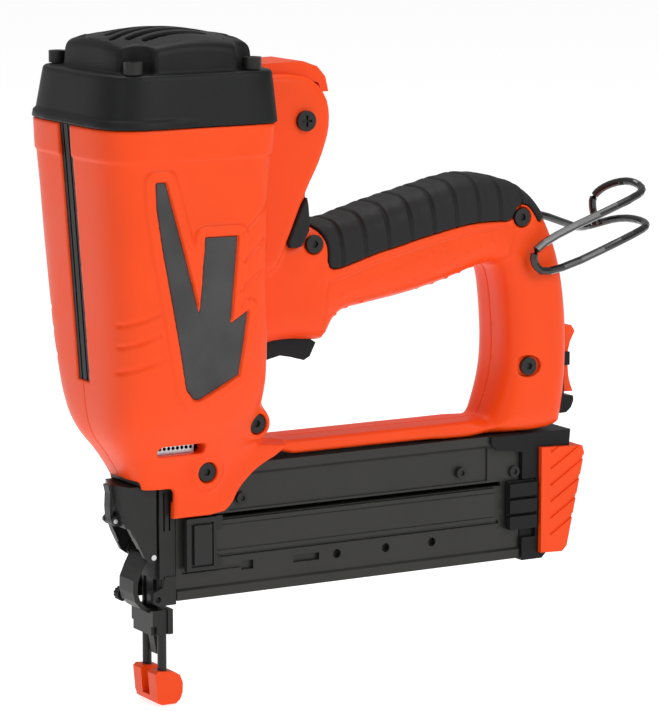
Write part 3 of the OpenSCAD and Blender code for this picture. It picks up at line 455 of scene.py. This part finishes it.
def housing(x, y, z):
    """Both halves of the housing as one body."""
    ya = np.abs(y)
    d = outer(x, y, z) - relief(x, y, z)
    under_rubber = smax(RUBBER(x, z) - 0.25, -(handle(x, y, z) + 2.7), 0.8)
    d = smax(d, -under_rubber, 0.5)
    cell_wall = smax(np.hypot(x - CELL_X, y) - CELL_WALL, np.abs(z - 221) - 19, 0.8)
    d = smin(d, cell_wall, 0.8)
    d = smax(d, -smax(PAD(x, z) - 0.2, 17.4 - ya, 0.5), 0.5)
    for sx, sz, r, depth, stretch in SCREWS:
        hole = np.maximum(np.hypot((x - sx) / stretch, z - sz) - r, depth - ya)
        d = smax(d, -np.where(y < 0, hole, 9.0), 0.7)
    return smax(d, -hollow(x, y, z), 0.4)


PITCH = 0.8
SIDES = (("near", -1), ("far", 1))


def inlay(x, y, z, sign):
    """Plate let into the side, 3 mm deep and just below the column's surface."""
    col = column(x, y, z)
    return smax(smax(col + 0.35, BOLT(x, z) + 0.15, 0.5), np.maximum(-3 - col, 26 - sign * y), 0.2)


for label, sign in SIDES:
    half = surface("housing_shell_" + label, lambda x, y, z: np.maximum(housing(x, y, z), -sign * y),
                   (-46, min(-2, 48 * sign), 80), (204, max(2, 48 * sign), 275), PITCH)
    finish_piece(half, "orange_plastic", "tool", "housing_" + label)
for label, sign in SIDES:
    low_y, high_y = sorted((26 * sign, 46 * sign))
    plate = surface("inlay_plate_" + label, lambda x, y, z: inlay(x, y, z, sign),
                    (-26, low_y, 135), (24, high_y, 234), PITCH * 0.6)
    finish_piece(plate, "grey_inlay", "tool", "inlay_" + label)


def wedge(x, y, z):
    """Rubber pad on both sides of the neck."""
    return smax(smax(PAD(x, z), np.abs(y) - 20.2, 1.6), 17.6 - np.abs(y), 0.3)


wedges = surface("neck_wedges", wedge, (50, -22, 193), (67, 22, 220), PITCH / 2)
finish_piece(wedges, "black_rubber", "tool", "neck_pads")

# ---------------------------------------------------------------- grip rubber

# top of the grip along X, from which the ribs fan out
TOP_X = [60, 84, 101, 122, 142, 153, 172, 186]
TOP_Z = [204, 205.4, 210.2, 215, 219.7, 221.2, 217.2, 206]
RIB_GAP = 11.6
RIB_START = 81


def rubber(x, y, z):
    """Ribbed cover laid over the grip."""
    grip = handle(x, y, z)
    top = np.interp(x, TOP_X, TOP_Z)
    u = x - 0.06 * (top - z)
    rib = (u - RIB_START) / RIB_GAP
    near = (rib - np.round(rib)) * RIB_GAP
    on = step(u, 76, 80) * step(u, 178, 175)
    h = 0.5 - 1.0 * np.exp(-(near / 0.7) ** 2) * on + 0.35 * on * np.cos(near / RIB_GAP * math.pi)
    d = smax(grip - h, RUBBER(x, z) + 0.1, 1.6)
    d = smax(d, -(grip + 2.6), 0.6)
    d = np.maximum(d, 17.0 - np.hypot(x - CELL_X, y))
    return np.maximum(d, -smax(column(x, y, z) - 2, 100 - z, 1))


cover = surface("grip_cover", rubber, (60, -19, 182), (194, 19, 225), PITCH)
finish_piece(cover, "black_rubber", "tool", "grip_rubber")

# ---------------------------------------------------------------- cap


CAP_BOTTOM = 253.6
SKIRT_TOP = 275.6
FLUTE_GAP = 8.5
CAP_SCREWS = [(-28.5, 35.3), (-28.5, -35.3), (27.3, 35.3), (27.3, -35.3)]


def cap_ring(x, y, half, front, rear, front_n, rear_n):
    """Rounded rectangle in plan, with its own reach and squareness in front and behind."""
    return squircle(x, y, np.where(x < 0, front, rear), half, np.where(x < 0, front_n, rear_n))


def cap(x, y, z):
    """Cap moulding: skirt, screw pockets, fluted dome and the hollow inside."""
    t = (z - CAP_BOTTOM) / 22
    lip = 0.9 * step(z, 257.8, 256.4) * step(x, 0, -25)
    skirt = cap_ring(x, y, 45.5 - 3.6 * t + lip, 42.9 - 3.5 * t + lip, 39 - t, 5, 8)
    skirt = smax(skirt, z - SKIRT_TOP, 1.8)
    skirt = smax(skirt, CAP_BOTTOM - z, 0.6)
    crown = 293.4 - 0.0052 * (x - 1) ** 2 - 0.0042 * y ** 2
    dome = cap_ring(x, y, 38, 32, 32.5, 5.0, 6.0) + 0.1 * (z - 272)
    dome = smax(dome, z - crown, 3.4)
    for sx, sy in CAP_SCREWS:
        pocket = smax(np.hypot(x - sx, y - sy) - (9.2 if sx < 0 else 7.2), z - 288.4, 4)
        dome = smax(dome, -smax(pocket, 274 - z, 1), 2.2)
    d = smin(skirt, smax(dome, 268 - z, 0.5), 1.0)
    # the sunk field on top, and the flutes in it
    top = smax(cap_ring(x, y, 32.5, 28, 29, 4.0, 5.0), 280 - z, 0.5)
    for sx, sy in CAP_SCREWS:
        top = smax(top, 12.6 - np.hypot(x - sx, y - sy), 2)
    d = d + 1.1 * step(top, 0.25, -0.25)
    for i in range(5):
        yc = -19 + FLUTE_GAP * i
        bend = yc - 5 * ((x - 8) / 26) ** 2 * np.where(x < 8, 1, 0.25)
        reach = 25 - 0.35 * abs(yc + 4 * i - 8)
        slot = np.hypot(np.maximum(np.abs(x + 1) - reach + 2, 0), y - bend - 2) - 2.4
        d = smax(d, -smax(slot, 281 - z, 0.5), 0.8)
    # the inside, without the four screw towers
    inner = np.maximum(np.maximum(cap_ring(x, y, 39, 37, 35.5, 5, 8), z - 272), 240 - z)
    inner = np.minimum(inner, np.maximum(dome + 3, z - crown + 3.4))
    for sx, sy in CAP_SCREWS:
        inner = np.maximum(inner, 5.0 - np.hypot(x - sx, y - sy))
    d = smax(d, -inner, 0.5)
    for sx, sy in CAP_SCREWS:
        d = np.maximum(d, 2.2 - np.hypot(x - sx, y - sy))
    return d


moulding = surface("cap_moulding", cap, (-46, -48, 251), (42, 48, 295), PITCH)
finish_piece(moulding, "charcoal_plastic", "tool", "cap_cover")

# ---------------------------------------------------------------- edges of the machined parts

# bevel width of each CAD piece that shows, in millimetres
EDGES = {"nose_casting": 0.35, "nose_door": 0.4, "jam_lever": 0.4, "probe": 0.3, "no_mar_tip": 0.9,
         "mag_channel": 0.3, "mag_rail": 0.25, "follower": 0.4, "mag_latch": 0.4, "mag_end_cap": 0.8,
         "end_bumper": 0.8, "trigger": 1.0, "fuel_door": 0.8, "battery_pack": 0.6,
         "battery_latch": 0.6, "front_strip": 0.5, "cap_screws": 0.3, "housing_screws": 0.25,
         "door_screws": 0.3}
for name, width in EDGES.items():
    bevel = NODES[name].modifiers.new("edges", "BEVEL")
    bevel.width = width * MM
    bevel.segments = 3
    bevel.limit_method = "ANGLE"
    bevel.angle_limit = math.radians(35)
    bevel.harden_normals = True

# ---------------------------------------------------------------- camera, light and floor

scene = bpy.context.scene
cam_data = bpy.data.cameras.new("camera")
SENSOR = 36.0
ZOOM = 3800.0 / 711     # focal length over the picture's long side
cam_data.sensor_width = SENSOR
cam_data.lens = ZOOM * SENSOR
cam = bpy.data.objects.new("camera", cam_data)
cam.location = (-0.7397, -1.4287, 0.4147)
cam.rotation_euler = (math.radians(90 - 9.303), 0, math.radians(-30))
scene.collection.objects.link(cam)
scene.camera = cam

FLOOR_HALF = 20
FLOOR_Z = -0.0008
floor_mesh = bpy.data.meshes.new("floor")
corners = [(sx * FLOOR_HALF, sy * FLOOR_HALF, FLOOR_Z)
           for sx, sy in ((-1, -1), (1, -1), (1, 1), (-1, 1))]
floor_mesh.from_pydata(corners, [], [(0, 1, 2, 3)])
floor = bpy.data.objects.new("floor", floor_mesh)
floor.data.materials.append(material("floor_pale", (0.5, 0.5, 0.5), 0.9, tint=0.004, grain=0.02))
floor_shader = floor.data.materials[0].node_tree.nodes["Principled BSDF"]
floor_shader.inputs["Emission Color"].default_value = (1, 1, 1, 1)
floor_shader.inputs["Emission Strength"].default_value = 0.78
floor_shader.inputs["Specular IOR Level"].default_value = 0.0
scene.collection.objects.link(floor)


def area_light(name, loc, target, size, power):
    """White square lamp at loc, facing target."""
    data = bpy.data.lights.new(name, "AREA")
    data.size = size
    data.energy = power
    obj = bpy.data.objects.new(name, data)
    obj.location = loc
    vx, vy, vz = [t - a for t, a in zip(target, loc)]
    tilt = math.atan2(math.hypot(vx, vy), -vz)
    turn = math.atan2(vy, vx) - math.pi / 2
    obj.rotation_euler = (tilt, 0, turn)
    scene.collection.objects.link(obj)


area_light("key", (0.5, -1.6, 1.1), (0.05, 0, 0.17), 0.9, 13.5)
area_light("fill", (-1.6, -0.7, 0.8), (0.05, 0, 0.17), 1.0, 3)
area_light("top", (0.1, 0.3, 1.7), (0.05, 0, 0.15), 1.2, 15)
world = bpy.data.worlds.new("world")
world.use_nodes = True
world.node_tree.nodes["Background"].inputs["Color"].default_value = (1, 1, 1, 1)
world.node_tree.nodes["Background"].inputs["Strength"].default_value = 0.38
scene.world = world
scene.view_settings.view_transform = "Standard"
